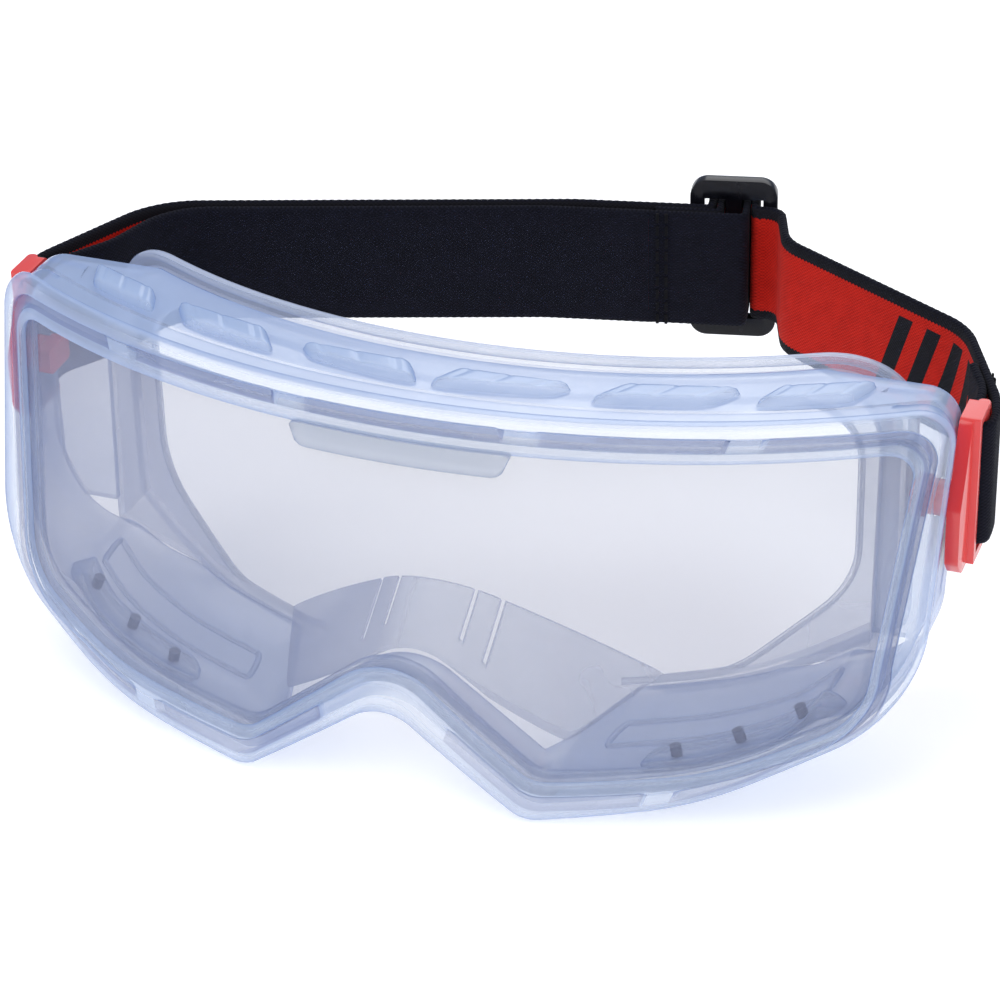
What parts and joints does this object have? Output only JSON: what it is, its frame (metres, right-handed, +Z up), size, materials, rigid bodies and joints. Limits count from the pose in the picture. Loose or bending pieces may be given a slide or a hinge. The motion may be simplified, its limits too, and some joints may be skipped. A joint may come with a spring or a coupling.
{
  "type": "sports protective goggles",
  "caption": "Clear-framed sports goggles with a curved lens, vented rim, soft face seal and a buckled elastic strap on swivel clips.",
  "frame": {"origin": "middle of the face opening, on the plane of the wearer's temples, at eye height", "axes": "-Y points ahead out of the lens, +Y back towards the wearer's head and the strap, +X to the right as seen from the front, +Z up"},
  "size_m": [0.1646, 0.1124, 0.0636],
  "materials": {
    "frame_clear": "translucent, bluish white",
    "lens_clear": "clear polycarbonate, polished",
    "seal_clear": "clear soft elastomer",
    "vent_insert": "frosted",
    "dark_trim": "moulded",
    "clip_red": "translucent red, polished",
    "strap_web": "woven elastic, black outside and red inside",
    "slider_black": "polished",
    "thread": "polyester thread"
  },
  "bodies": {
    "frame": {"frame_body": "frame_clear", "lens": "lens_clear", "face_seal": "seal_clear", "roof_vent_cover_inner_right": "vent_insert", "roof_vent_cover_middle_right": "vent_insert", "roof_vent_cover_outer_right": "vent_insert", "roof_vent_cover_inner_left": "vent_insert", "roof_vent_cover_middle_left": "vent_insert", "roof_vent_cover_outer_left": "vent_insert", "lower_vent_cover_left": "vent_insert", "lower_vent_cover_right": "vent_insert", "lower_vent_pins_left": "dark_trim", "lower_vent_pins_right": "dark_trim"},
    "strap": {"strap_clip_left": "clip_red", "strap_clip_right": "clip_red", "strap_right_run": "strap_web", "strap_right_slack": "strap_web", "strap_left_run": "strap_web", "strap_left_slack": "strap_web", "strap_inner_slack": "strap_web", "clip_stitching": "thread"},
    "slider": {"slider": "slider_black", "strap_weave": "strap_web", "strap_tail": "strap_web", "tail_stitching": "thread"}
  },
  "joints": [
    {"name": "strap_swing", "type": "hinge", "parent": "frame", "child": "strap", "pos_m": [0, -0.0089, 0.011], "axis": [1, 0, 0], "range_deg": [-12, 12]},
    {"name": "slider_slide", "type": "slide", "parent": "strap", "child": "slider", "axis": [-0.9781, -0.2076, -0.0109], "range_m": [0, 0.012], "deforming": ["strap_right_slack", "strap_left_slack", "strap_inner_slack"]}
  ]
}
